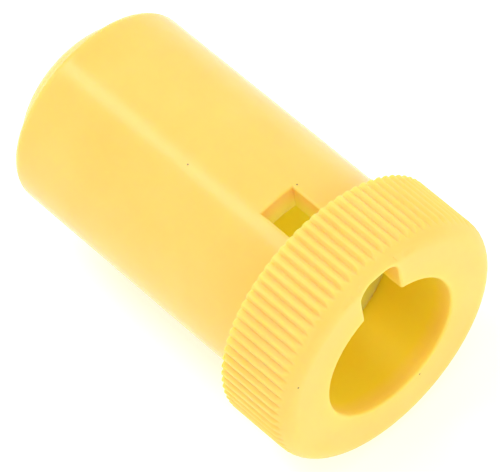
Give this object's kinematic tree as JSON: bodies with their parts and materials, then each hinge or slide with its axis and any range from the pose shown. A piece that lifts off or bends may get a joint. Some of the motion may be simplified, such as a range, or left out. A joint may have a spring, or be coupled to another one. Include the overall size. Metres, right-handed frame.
{
  "type": "fence insulator",
  "caption": "Insulating sleeve for a keyed fence rod, with a turning knurled collar at its keyed mouth, a window in its barrel and a closed far end.",
  "frame": {"origin": "centre of the bore at the collar's front face", "axes": "+X along the bore, out of the mouth; +Z towards the key slot; +Y to the right, seen from in front of the mouth"},
  "size_m": [0.0558, 0.035, 0.035],
  "materials": {
    "barrel_plastic": "satin moulded yellow plastic, slightly translucent",
    "collar_plastic": "satin moulded yellow plastic, slightly translucent",
    "plug_plastic": "satin moulded yellow plastic, slightly translucent"
  },
  "bodies": {
    "sleeve": {"barrel": "barrel_plastic", "end_plug": "plug_plastic"},
    "collar": {"knurled_collar": "collar_plastic"}
  },
  "joints": [
    {"name": "collar_turn", "type": "hinge", "parent": "sleeve", "child": "collar", "pos_m": [-0.007, 0, 0], "axis": [-1, 0, 0], "range_deg": [0, 90]}
  ]
}
